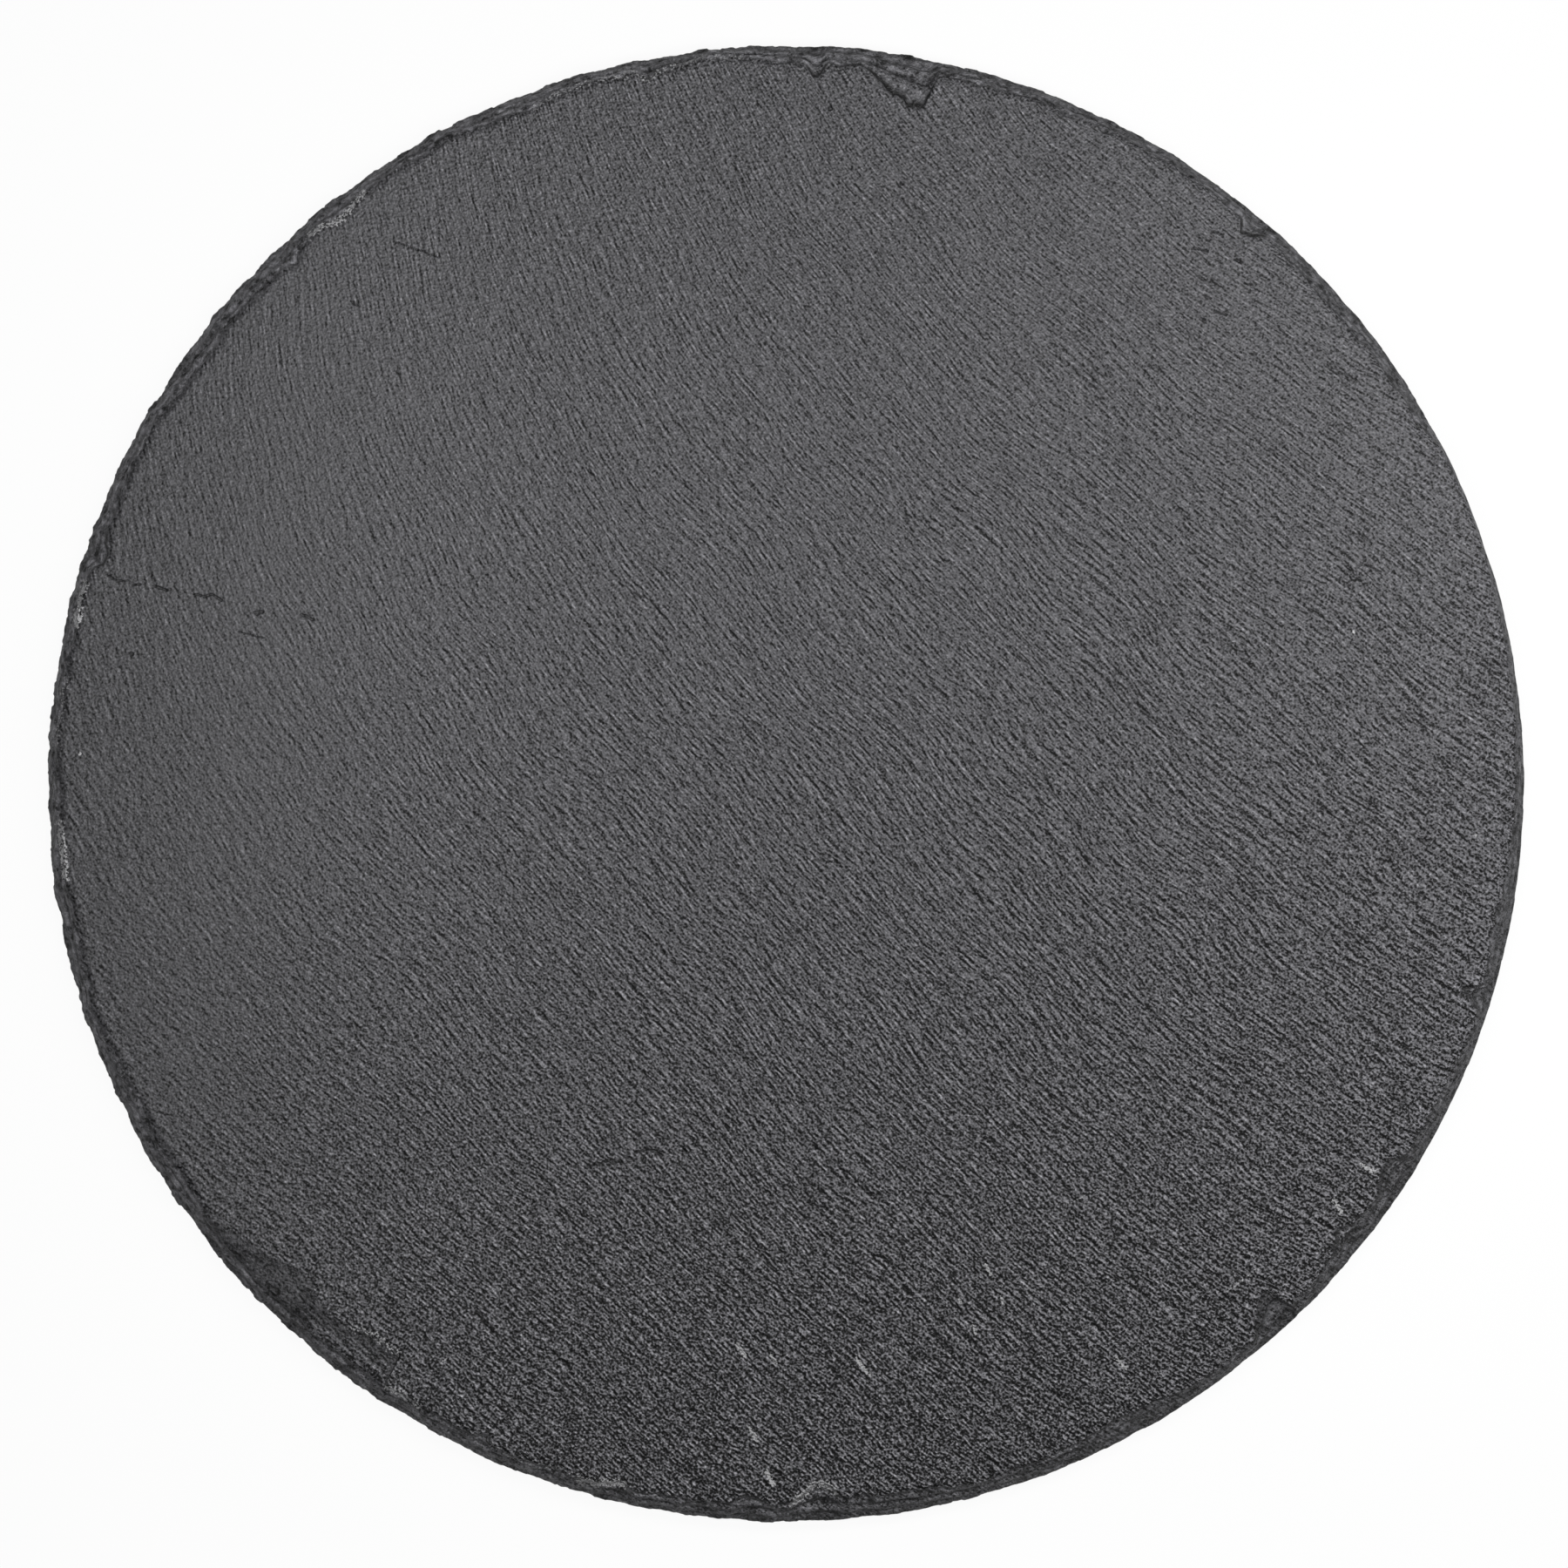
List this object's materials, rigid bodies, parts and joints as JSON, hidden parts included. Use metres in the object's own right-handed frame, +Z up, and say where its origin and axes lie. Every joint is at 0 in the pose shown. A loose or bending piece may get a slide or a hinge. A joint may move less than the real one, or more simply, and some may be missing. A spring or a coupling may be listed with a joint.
{
  "type": "round slate serving board",
  "caption": "Thin round slate serving board with riven faces, a hand-knapped bevelled rim and stick-on rubber feet underneath.",
  "frame": {"origin": "on the ground under the centre of the board, so the four feet stand on z = 0", "axes": "+Z up, square to the slate; +Y towards the far side of the board, which is the top of the picture; +X to its right"},
  "size_m": [0.3, 0.3001, 0.0077],
  "materials": {
    "slate": "matte",
    "foot_rubber": "matte",
    "adhesive": "satin"
  },
  "bodies": {
    "root": {"slate": "slate", "foot_back_right": "foot_rubber", "foot_back_left": "foot_rubber", "foot_front_left": "foot_rubber", "foot_front_right": "foot_rubber", "adhesive_back_right": "adhesive", "adhesive_back_left": "adhesive", "adhesive_front_left": "adhesive", "adhesive_front_right": "adhesive"}
  },
  "joints": []
}
